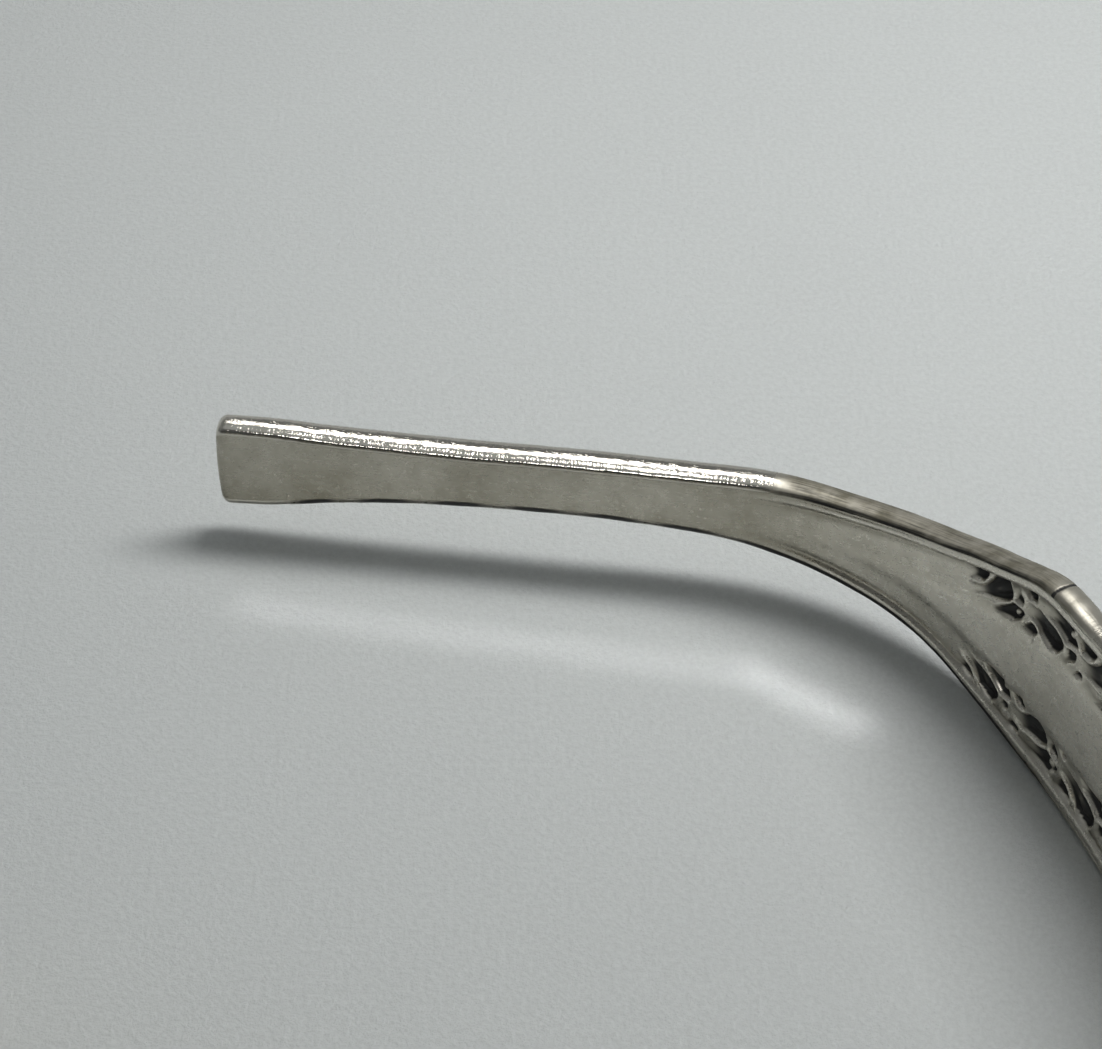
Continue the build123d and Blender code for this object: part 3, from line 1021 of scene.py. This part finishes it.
def build_tip(name, band, relief):
    """The rounded tip: rays from its foot to its outline on both faces, round one rolled edge."""
    size = band.size
    half_width, half_thickness = size.blade_width / 2, size.blade_thickness / 2
    rolled_out, rolled_inset, face_inset = rolled_edge(size)
    outline, normal = tip_outline(size)
    start = outline - normal * face_inset
    ray = np.linalg.norm(start, axis=-1)[:, None]
    facing = np.clip((normal * start).sum(axis=-1)[:, None] / ray, LEAST_FACING, 1.0)
    out_share = np.linspace(0.0, 1.0, TIP_FACE_STEPS + 1)[None, 1:]
    along, height = start[:, :1] * out_share, start[:, 1:] * out_share
    edge_gap = face_inset + ray * (1 - out_share) * facing

    made = GirthMesh()
    firsts, centres = {}, {}
    for side in (1, -1):
        distance = band.tip_start + along
        sink, dark = relief.at(distance, height, half_width, edge_gap, side, on_tip=True)
        sink = sink * ramp(edge_gap, face_inset, face_inset + RELIEF_START)
        points = band.place(distance, side * (half_thickness - sink), half_width + height)
        place = stacked(distance, height + FACE_PATTERN, side)
        firsts[side] = made.add_points(points, place, dark, 0.0)
    roll = outline[:, None, :] - normal[:, None, :] * rolled_inset[None, :, None]
    points = band.place(band.tip_start + roll[..., 0], rolled_out, half_width + roll[..., 1])
    arc = np.cumsum(np.linalg.norm(np.diff(outline, axis=0, prepend=outline[:1]), axis=-1))
    place = stacked(arc[:, None], EDGE_PATTERN + rolled_out, 0.0)
    roll_first = made.add_points(points, place, 0.0, 1.0)
    foot, middle = np.array([band.tip_start]), np.array([half_width])
    for side in (1, -1):
        sink, dark = relief.at(foot, np.zeros(1), half_width, middle, side, on_tip=True)
        point = band.place(foot, side * (half_thickness - sink), middle)
        place = np.array([[band.tip_start, FACE_PATTERN, side]])
        centres[side] = made.add_points(point, place, dark, 0.0)

    def face_row(side, row):
        """Points of one ray on a face, from the foot outward."""
        first = firsts[side] + row * TIP_FACE_STEPS
        return range(first, first + TIP_FACE_STEPS)

    def whole_ray(row):
        """Points of one ray: out over the outer face, round the edge and back."""
        rolled = roll_first + row * len(rolled_out)
        rolled = range(rolled, rolled + len(rolled_out))
        return [*face_row(1, row), *rolled, *face_row(-1, row)[::-1]]

    face_u = PATCH_WIDTH * along / size.tip_length
    face_v = PATCH_LOW + PATCH_HALF * (height / half_width + 1)
    for side in (1, -1):
        foot_uv = (FACE_PATCH[side], PATCH_LOW + PATCH_HALF)
        uvs = [[(FACE_PATCH[side] + u, v) for u, v in zip(*row)] for row in zip(face_u, face_v)]
        for i in range(TIP_ARC_STEPS):
            rows = [face_row(side, row) for row in (i, i + 1)]
            corners = (centres[side], rows[0][0], rows[1][0])
            made.add_face(corners[::side], (foot_uv, uvs[i][0], uvs[i + 1][0])[::side])
            made.add_strip(*rows[::side], *uvs[i : i + 2][::side])
    steps = len(rolled_out) + 1
    edge_part = slice(TIP_FACE_STEPS - 1, TIP_FACE_STEPS + steps)
    edge_u, edge_v = [
        low + reach * np.arange(count + 1) / count
        for (low, reach), count in zip(EDGE_STRIP, (TIP_ARC_STEPS, steps))
    ]
    for i in range(TIP_ARC_STEPS):
        rows = [whole_ray(row)[edge_part] for row in (i, i + 1)]
        made.add_strip(*rows, *[[(u, v) for v in edge_v] for u in edge_u[i : i + 2]])
    # Flat cap against the blade, with its UVs on a small circle
    rim = [centres[1], *whole_ray(0), centres[-1], *whole_ray(TIP_ARC_STEPS)[::-1]]
    turns = np.linspace(0.0, 2 * pi, len(rim), endpoint=False)
    rim_uvs = np.array(CAP_MIDDLE) + CAP_RADIUS * stacked(np.cos(turns), np.sin(turns))
    made.add_face(rim[::-1], rim_uvs[::-1].tolist(), flat=True)
    return made.build(name)


# Finishes


class Reading:
    """A number that varies over a surface, with arithmetic that adds Math nodes."""

    def __init__(self, sheet, socket):
        self.sheet, self.socket = sheet, socket

    def _math(self, operation, first, second):
        inputs = {0: first, 1: second}
        return self.sheet.reading("ShaderNodeMath", {"operation": operation}, inputs)

    def __add__(self, other):
        return self._math("ADD", self, other)

    def __radd__(self, other):
        return self._math("ADD", other, self)

    def __sub__(self, other):
        return self._math("SUBTRACT", self, other)

    def __rsub__(self, other):
        return self._math("SUBTRACT", other, self)

    def __mul__(self, other):
        return self._math("MULTIPLY", self, other)

    def __rmul__(self, other):
        return self._math("MULTIPLY", other, self)

    def largest(self, other):
        return self._math("MAXIMUM", self, other)

    def least(self, other):
        return self._math("MINIMUM", self, other)

    def clamped(self):
        return self.sheet.reading("ShaderNodeClamp", {}, {"Value": self})

    def stepped(self, start, end):
        """Smooth step of this number from 0 at start to 1 at end."""
        return self.sheet.reading(
            "ShaderNodeMapRange",
            {"interpolation_type": "SMOOTHSTEP"},
            {"Value": self, "From Min": start, "From Max": end},
            "Result",
        )


class NodeSheet:
    """Node tree of one finish, emptied and then filled."""

    def __init__(self, owner):
        owner.use_nodes = True
        self.tree = owner.node_tree
        self.tree.nodes.clear()

    def node(self, kind, settings, inputs):
        """Add a node, set its settings and then its sockets' values or links."""
        made = self.tree.nodes.new(kind)
        for name, value in settings.items():
            setattr(made, name, value)
        for name, value in inputs.items():
            if isinstance(value, Reading):
                value = value.socket
            if isinstance(value, bpy.types.NodeSocket):
                self.tree.links.new(value, made.inputs[name])
            else:
                made.inputs[name].default_value = value
        return made

    def reading(self, kind, settings, inputs, output=0):
        """Add a node and read one number from it."""
        return Reading(self, self.node(kind, settings, inputs).outputs[output])

    def part(self, vector, name):
        """One part of a vector."""
        return self.reading("ShaderNodeSeparateXYZ", {}, {0: vector}, name)

    def attribute(self, name, output):
        """Attribute of the mesh's points, as a number or a vector."""
        return self.node("ShaderNodeAttribute", {"attribute_name": name}, {}).outputs[output]

    def millimetres(self):
        """Place in the object's own frame, in millimetres."""
        where = self.node("ShaderNodeTexCoord", {}, {}).outputs["Object"]
        return self.scaled(where, (1 / MM, 1 / MM, 1 / MM))

    def noise(self, vector, scale, detail, roughness):
        """Noise from about 0 to 1."""
        if isinstance(scale, tuple):
            vector, scale = self.scaled(vector, scale), 1.0
        inputs = {"Vector": vector, "Scale": scale, "Detail": detail, "Roughness": roughness}
        return self.reading("ShaderNodeTexNoise", {}, inputs)

    def mixed(self, amount, first, second):
        """Blend of two colours."""
        inputs = {"Factor": amount, 6: first, 7: second}
        return self.node("ShaderNodeMix", {"data_type": "RGBA"}, inputs).outputs[2]

    def scaled(self, vector, scale):
        """Vector multiplied part by part."""
        inputs = {0: vector, 1: scale}
        return self.node("ShaderNodeVectorMath", {"operation": "MULTIPLY"}, inputs).outputs[0]

    def bump(self, amount, distance, height):
        """Normal from a height, with the distance in millimetres."""
        inputs = {"Strength": amount, "Distance": distance * MM, "Height": height}
        return self.node("ShaderNodeBump", {}, inputs).outputs[0]

    def surface(self, kind, inputs, output="ShaderNodeOutputMaterial"):
        """Shader that the tree ends in."""
        shader = self.node(kind, {}, inputs)
        self.node(output, {}, {"Surface": shader.outputs[0]})


def with_alpha(shade):
    return (*shade, 1.0)


# Small pits in the inner face: distance along the band, height and radius in millimetres, and
# the shares of the radius between which a pit's wall lies
PITS = ((42.04, 7.7, 0.13), (47.44, 5.6, 0.10), (46.0, 6.3, 0.07))
PIT_WALL = (0.5, 1.5)

# Noises in the solid: grains to a millimetre, detail and roughness
CLOUD = (0.16, 2.0, 0.5)
MOTTLE = (0.9, 4.0, 0.55)
SPECK = (2.6, 4.0, 0.65)
GRAIN = (8.0, 3.0, 0.65)

# Noises that follow the band: grains to a millimetre along it, round it and through it, then
# detail and roughness
STREAK = ((0.5, 9.0, 3.0), 3.0, 0.6)
SCRATCH = ((0.7, 42.0, 7.0), 2.0, 0.7)
CROSS_MARK = ((6.5, 1.6, 0.0), 3.0, 0.7)
DENT = ((2.2, 2.0, 1.0), 2.0, 0.5)

# Values of a noise between which its patches come in
CLOUD_PATCHES = (0.35, 0.68)
MOTTLE_PATCHES = (0.40, 0.74)
DULL_PATCHES = (0.3, 0.7)

# Distances along the band, in millimetres, between which a finish or a stretch of painted shade
# comes in
DULL_EDGE_START = (26.2, 28.4)
DULL_EDGE_END = (43.0, 44.6)
CLEAN_EDGE = (44.8, 51.0)
FOREARM_SHADE_STRETCH = (24.0, 38.0)
NICK_FADES = (0.03, 0.15)

# Share of the dull stretch's film and painted shade that goes where it ends, while the rest goes
# along the clean edge
FIRST_CLEANING = 0.35

# Heights between which the painted shade low on the forearm's face fades
LOW_FACE_SHADE = (2.6, 6.0)

# What each cause adds to the brown film, the soot, the roughness and the height of the marks. The
# film's entries for the forearm and for its low face are painted shade, the soot's nick entry is
# painted shade, the dull entries are partly painted shade, and the recess entry also darkens the
# painted corner lines. Bare is how much of the film an edge goes without, and deepening how soon a
# recess is full.
FILM = SimpleNamespace(
    cloud=0.35, mottle=0.22, speck=0.22, forearm_shade=0.7, low=0.35, recess=0.6, deepening=1.6
)
EDGE_FILM = SimpleNamespace(bare=0.75, dull=0.6, mottle=0.35)
SOOT_AND_SHADE = SimpleNamespace(dull=0.42, streak=0.7, mottle=0.2, nick=0.42)
ROUGH = SimpleNamespace(streak=0.08, speck=0.12, dent=0.08, dull=0.42, soot_and_shade=0.3)
MARK = SimpleNamespace(scratch=0.12, streak=0.12, grain=0.25, cross=3.4, dent=3.0, pit=4.0)

# Sums of soot and painted shade between which they turn black, how much they hide the metal, how
# much the film hides the marks of filing, and the strength and distance of the bump
SOOT_AND_SHADE_STARTS = (0.27, 0.74)
SOOT_AND_SHADE_HIDES = 0.75
DULL_HIDES = 0.85
SILVER_BUMP = (0.55, 0.012)


def worn_silver_and_painted_shade():
    """Old silver: satin faces with a brown film, filed bright edges and black recesses, with painted
    shade on the forearm's face, along the long corners and in the nick, and in part on the dull
    stretch of the top edge.
    """
    made = bpy.data.materials.get("worn_silver_and_painted_shade")
    if made is not None:
        return made
    finish = bpy.context.scene.cuff_silver
    made = bpy.data.materials.new("worn_silver_and_painted_shade")
    sheet = NodeSheet(made)
    solid = sheet.millimetres()
    place = sheet.attribute("place", "Vector")
    # The sunk attribute holds the relief's patina and the painted shade along the long corners
    sunk = Reading(sheet, sheet.attribute("sunk", "Fac"))
    edge = Reading(sheet, sheet.attribute("edge", "Fac"))
    face = 1 - edge
    along, upward = sheet.part(place, "X"), sheet.part(solid, "Z")
    cloud, mottle, speck, grain = [
        sheet.noise(solid, *row) for row in (CLOUD, MOTTLE, SPECK, GRAIN)
    ]
    streak, scratch, cross, dents = [
        sheet.noise(place, *row) for row in (STREAK, SCRATCH, CROSS_MARK, DENT)
    ]

    # Where the top edge is dull, the forearm's face that gets painted shade for the shadowed floor
    # it mirrors, and its low part, which gets more of that painted shade
    first_cleaned, then_cleaned = along.stepped(*DULL_EDGE_END), along.stepped(*CLEAN_EDGE)
    cleaned = first_cleaned * FIRST_CLEANING + then_cleaned * (1 - FIRST_CLEANING)
    dull = along.stepped(*DULL_EDGE_START) * (1 - cleaned) * edge
    forearm_shade = (1 - along.stepped(*FOREARM_SHADE_STRETCH)) * face
    low = (1 - upward.stepped(*LOW_FACE_SHADE)) * face

    # The film is brown tarnish, with painted shade on the forearm's face and, in part, on the dull
    # stretch of the top edge
    film = cloud.stepped(*CLOUD_PATCHES) * FILM.cloud + mottle.stepped(*MOTTLE_PATCHES) * FILM.mottle
    film = film * (1 - edge * EDGE_FILM.bare) + forearm_shade * FILM.forearm_shade + low * forearm_shade * FILM.low
    film = film * finish.tarnish_and_shade_amount + (sunk * FILM.deepening).least(1.0) * FILM.recess
    film = film + dull * (mottle.stepped(*DULL_PATCHES) * EDGE_FILM.mottle + EDGE_FILM.dull)
    film = film + (speck - 0.5) * FILM.speck * face
    metal = sheet.mixed(film.clamped(), with_alpha(finish.silver), with_alpha(finish.tarnish_and_shade))

    # The nick across the top edge is painted dark, as shade in its groove
    from_nick = (along - NICK_DISTANCE).largest(NICK_DISTANCE - along)
    nick = (1 - from_nick.stepped(*NICK_FADES)) * edge
    # The dull stretch is darkened partly with soot and partly with painted shade that holds back the
    # back softbox's reflection
    dull_soot_and_shade = dull * (SOOT_AND_SHADE.dull + (streak - 0.5) * SOOT_AND_SHADE.streak)
    soot_and_shade = sunk + (mottle - 0.5) * SOOT_AND_SHADE.mottle + dull_soot_and_shade + nick * SOOT_AND_SHADE.nick
    soot_and_shade = soot_and_shade.stepped(*SOOT_AND_SHADE_STARTS)
    shade = sheet.mixed(soot_and_shade, metal, with_alpha(finish.soot_and_shade))

    satin = finish.face_roughness + (streak - 0.5) * ROUGH.streak + (speck - 0.5) * ROUGH.speck
    filed = finish.edge_roughness + (dents - 0.5) * ROUGH.dent + dull * ROUGH.dull
    rough = (satin * face + filed * edge + soot_and_shade * ROUGH.soot_and_shade).clamped()

    band = Band(in_millimetres(bpy.context.scene.cuff_band))
    pits = 0.0
    for distance, rise, radius in PITS:
        spot = tuple(band.place(distance, -band.half_thickness(distance), rise))
        gap = sheet.reading(
            "ShaderNodeVectorMath", {"operation": "DISTANCE"}, {0: solid, 1: spot}, "Value"
        )
        pits = pits + (1 - gap.stepped(*[radius * part for part in PIT_WALL]))
    marks = (scratch * MARK.scratch + streak * MARK.streak + grain * MARK.grain) * face
    filing = (cross * MARK.cross + dents * MARK.dent) * edge * (1 - dull * DULL_HIDES)
    shader = {
        "Base Color": shade,
        "Metallic": 1 - soot_and_shade * SOOT_AND_SHADE_HIDES,
        "Roughness": rough,
        "Normal": sheet.bump(*SILVER_BUMP, marks + filing - pits * MARK.pit),
    }
    sheet.surface("ShaderNodeBsdfPrincipled", shader)
    return made


# Floor: its grain and patches, the values between which a grain turns pale, the grain's share,
# how far the colour swings to both sides, and the strength and distance of its bump
FLOOR_GRAIN = (3.4, 4.0, 0.75)
FLOOR_PATCH = (0.06, 3.0, 0.5)
PALE_GRAINS = (0.3, 0.7)
GRAIN_SHARE = 0.7
FLOOR_SWING = 0.08
FLOOR_ROUGHNESS = 0.36
FLOOR_BUMP = (0.6, 0.2)


def pale_floor():
    """Pale, slightly glossy table top with a fine grain."""
    base = bpy.context.scene.cuff_stage.floor_colour
    made = bpy.data.materials.new("pale_floor")
    sheet = NodeSheet(made)
    solid = sheet.millimetres()
    grain, patch = sheet.noise(solid, *FLOOR_GRAIN), sheet.noise(solid, *FLOOR_PATCH)
    dark, light = [
        with_alpha(part * swing for part in base) for swing in (1 - FLOOR_SWING, 1 + FLOOR_SWING)
    ]
    tone = (grain.stepped(*PALE_GRAINS) * GRAIN_SHARE + patch * (1 - GRAIN_SHARE)).clamped()
    shader = {
        "Base Color": sheet.mixed(tone, dark, light),
        "Roughness": FLOOR_ROUGHNESS,
        "Normal": sheet.bump(*FLOOR_BUMP, grain),
    }
    sheet.surface("ShaderNodeBsdfPrincipled", shader)
    return made


# Room light: its colour, and where the sky's height and depth bring each part of it in
ROOM_COLOUR = (0.95, 0.99, 1.0, 1.0)
CAMERA_SIDE = (0.15, 0.6)
CAMERA_SIDE_TOP = (0.72, 0.95)
CAMERA_SIDE_DIMMING = 0.6
CEILING_START = (0.78, 0.93)
BACK_WALL = (0.2, 0.7)
BACK_WALL_TOP = (0.25, 0.5)


def room_light():
    """Even, pale room light that is dim on the camera's own side."""
    settings = bpy.context.scene.cuff_stage
    world = bpy.data.worlds.new("room")
    bpy.context.scene.world = world
    sheet = NodeSheet(world)
    direction = sheet.node("ShaderNodeTexCoord", {}, {}).outputs["Generated"]
    toward_back, upward = sheet.part(direction, "Y"), sheet.part(direction, "Z")
    dim = (0 - toward_back).stepped(*CAMERA_SIDE) * (1 - upward.stepped(*CAMERA_SIDE_TOP))
    ceiling = upward.stepped(*CEILING_START)
    wall = toward_back.stepped(*BACK_WALL) * (1 - upward.stepped(*BACK_WALL_TOP))
    power = (1 - dim * CAMERA_SIDE_DIMMING) * settings.ambient
    power = power + ceiling * settings.ceiling + wall * settings.wall
    background = {"Color": ROOM_COLOUR, "Strength": power}
    sheet.surface("ShaderNodeBackground", background, "ShaderNodeOutputWorld")


# Operators


def band_and_relief():
    scene = bpy.context.scene
    band = Band(in_millimetres(scene.cuff_band))
    return band, Relief(in_millimetres(scene.cuff_relief), band)


def dress(piece):
    """Give a stretch of the band its finish, and let it stand for the CAD band."""
    piece.data.materials.append(worn_silver_and_painted_shade())
    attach(piece, "root")
    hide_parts(BAND_NODE)


SHANK_END = 36.0
SHOULDER_END = 60.0
COARSE_ROWS = 0.4
SHOULDER_ROWS = 0.065
BLADE_ROWS = 0.085
BLADE_PIECES = ("blade_near", "blade_middle", "blade_far")


class CUFF_OT_forearm(bpy.types.Operator):
    """Build the cut end, the shank, the shoulder and the first leaves"""

    bl_idname = "cuff.forearm"
    bl_label = "Forearm"

    def execute(self, context):
        band, relief = band_and_relief()
        rows = rows_between(band.size.cut_rounding, SHANK_END, COARSE_ROWS)
        dress(build_girth("cut_end_and_shank", band, relief, rows, cut_end=True))
        rows = rows_between(SHANK_END, SHOULDER_END, SHOULDER_ROWS)
        dress(build_girth("shoulder", band, relief, rows))
        return {"FINISHED"}


class CUFF_OT_blade(bpy.types.Operator):
    """Build the broad blade with its leaf borders"""

    bl_idname = "cuff.blade"
    bl_label = "Blade"

    def execute(self, context):
        band, relief = band_and_relief()
        ends = np.linspace(SHOULDER_END, band.tip_start, len(BLADE_PIECES) + 1)
        for name, start, end in zip(BLADE_PIECES, ends, ends[1:]):
            dress(build_girth(name, band, relief, rows_between(start, end, BLADE_ROWS)))
        return {"FINISHED"}


class CUFF_OT_tip(bpy.types.Operator):
    """Build the rounded tip with its palmette"""

    bl_idname = "cuff.tip"
    bl_label = "Tip"

    def execute(self, context):
        band, relief = band_and_relief()
        dress(build_tip("rounded_tip", band, relief))
        return {"FINISHED"}


PHOTO_WIDTH = 1102
SENSOR = 36.0
CAMERA_TARGET = (-0.347, 28.551, 0.0)
NEAREST_SEEN = 5.0
FLOOR_HALF = 3000.0

# Softboxes: size in metres, direction from the camera's target, and distance in metres
Softbox = namedtuple("Softbox", "size direction distance")
KEY_BOX = Softbox((0.125, 0.040), (0.42, 0.16, 1.0), 0.19)
FRONT_BOX = Softbox((0.06, 0.05), (0.0, -0.69, 0.73), 0.4)
BACK_BOX = Softbox((0.11, 0.12), (-0.033, 0.55, 0.83), 0.5)
KEY_AIM = (16.0, 80.0, 0.0)

# Light that the band throws on the floor: its middle and turn seen from above, length and power
THROWN_LIGHT = (((-3.5, 20.7), -10.4, 25.0, 2.7e-5), ((11.5, 16.8), -35.0, 7.5, 1.5e-5))
THROWN_HEIGHT = 12.0
THROWN_WIDTH = 1.5
THROWN_SPREAD = 14.0


def area_light(name, energy, width, depth):
    """Rectangular light that faces down, with its width and depth in metres."""
    light = bpy.data.lights.new(name, "AREA")
    light.shape = "RECTANGLE"
    light.size, light.size_y = width, depth
    light.energy = energy
    lamp = bpy.data.objects.new(name, light)
    bpy.context.scene.collection.objects.link(lamp)
    return lamp


def softbox(name, energy, box, aim=CAMERA_TARGET):
    """Softbox that faces a point on the floor, with its width along X."""
    lamp = area_light(name, energy, *box.size)
    lamp.location = Vector(CAMERA_TARGET) * MM + Vector(box.direction).normalized() * box.distance
    away = (lamp.location - Vector(aim) * MM).normalized()
    across = (Vector((1.0, 0.0, 0.0)) - away * away.x).normalized()
    lamp.rotation_euler = Matrix((across, away.cross(across), away)).transposed().to_euler()
    return lamp


def thrown_light(name, floor_only, middle, turn, reach, energy):
    """Faint streak on the floor, which the polished inner face throws there."""
    lamp = area_light(name, energy, reach * MM, THROWN_WIDTH * MM)
    lamp.data.spread = radians(THROWN_SPREAD)
    lamp.location = Vector((*middle, THROWN_HEIGHT)) * MM
    lamp.rotation_euler = (0.0, 0.0, radians(turn))
    lamp.visible_camera = False
    lamp.visible_glossy = False
    lamp.light_linking.receiver_collection = floor_only


def add_camera(settings):
    """Camera at the photograph's angle, distance and focal length."""
    lens = bpy.data.cameras.new("camera")
    lens.sensor_fit = "HORIZONTAL"
    lens.sensor_width = SENSOR
    lens.lens = settings.focal_pixels / PHOTO_WIDTH * SENSOR
    lens.clip_start = NEAREST_SEEN * MM
    lens.dof.use_dof = False
    camera = bpy.data.objects.new("camera", lens)
    rise = settings.camera_elevation
    backward = Vector((0.0, -cos(rise), sin(rise)))
    camera.location = (Vector(CAMERA_TARGET) + backward * settings.camera_distance) * MM
    camera.rotation_euler = backward.to_track_quat("Z", "Y").to_euler()
    bpy.context.scene.collection.objects.link(camera)
    bpy.context.scene.camera = camera


def add_floor():
    """Floor that everything stands on."""
    mesh = bpy.data.meshes.new("floor")
    side = FLOOR_HALF * MM
    corners = [(-side, -side, 0), (side, -side, 0), (side, side, 0), (-side, side, 0)]
    mesh.from_pydata(corners, [], [(0, 1, 2, 3)])
    mesh.materials.append(pale_floor())
    floor = bpy.data.objects.new("floor", mesh)
    bpy.context.scene.collection.objects.link(floor)
    return floor


class CUFF_OT_stage(bpy.types.Operator):
    """Build the camera, the softboxes, the room light and the floor"""

    bl_idname = "cuff.stage"
    bl_label = "Stage"

    def execute(self, context):
        settings = in_millimetres(context.scene.cuff_stage)
        context.scene.view_settings.view_transform = "Standard"
        add_camera(settings)
        key = softbox("key", settings.key_energy, KEY_BOX, KEY_AIM)
        key.data.spread = settings.key_spread
        for name, energy, box in (
            ("front", settings.front_energy, FRONT_BOX),
            ("back", settings.back_energy, BACK_BOX),
        ):
            softbox(name, energy, box).visible_diffuse = False
        room_light()
        floor_only = bpy.data.collections.new("floor_only")
        floor_only.objects.link(add_floor())
        for index, row in enumerate(THROWN_LIGHT):
            thrown_light(f"thrown_{index}", floor_only, *row)
        return {"FINISHED"}


class CUFF_PT_sidebar(bpy.types.Panel):
    """Buttons and sizes of the cuff"""

    bl_label = "Cuff"
    bl_idname = "CUFF_PT_sidebar"
    bl_space_type = "VIEW_3D"
    bl_region_type = "UI"
    bl_category = "Cuff"

    def draw(self, context):
        for operator in OPERATORS:
            self.layout.operator(operator.bl_idname)
        for name, group in PROPERTY_GROUPS.items():
            box = self.layout.box()
            for item in group.__annotations__:
                box.prop(getattr(context.scene, name), item)


OPERATORS = (CUFF_OT_stage, CUFF_OT_forearm, CUFF_OT_blade, CUFF_OT_tip)
CLASSES = (*PROPERTY_GROUPS.values(), *OPERATORS, CUFF_PT_sidebar)


def register():
    for made in CLASSES:
        bpy.utils.register_class(made)
    for name, group in PROPERTY_GROUPS.items():
        setattr(bpy.types.Scene, name, PointerProperty(type=group))


def unregister():
    for name in PROPERTY_GROUPS:
        delattr(bpy.types.Scene, name)
    for made in reversed(CLASSES):
        bpy.utils.unregister_class(made)


def main():
    register()
    bpy.ops.cuff.stage()
    bpy.ops.cuff.forearm()
    bpy.ops.cuff.blade()
    bpy.ops.cuff.tip()


if __name__ == "__main__":
    main()
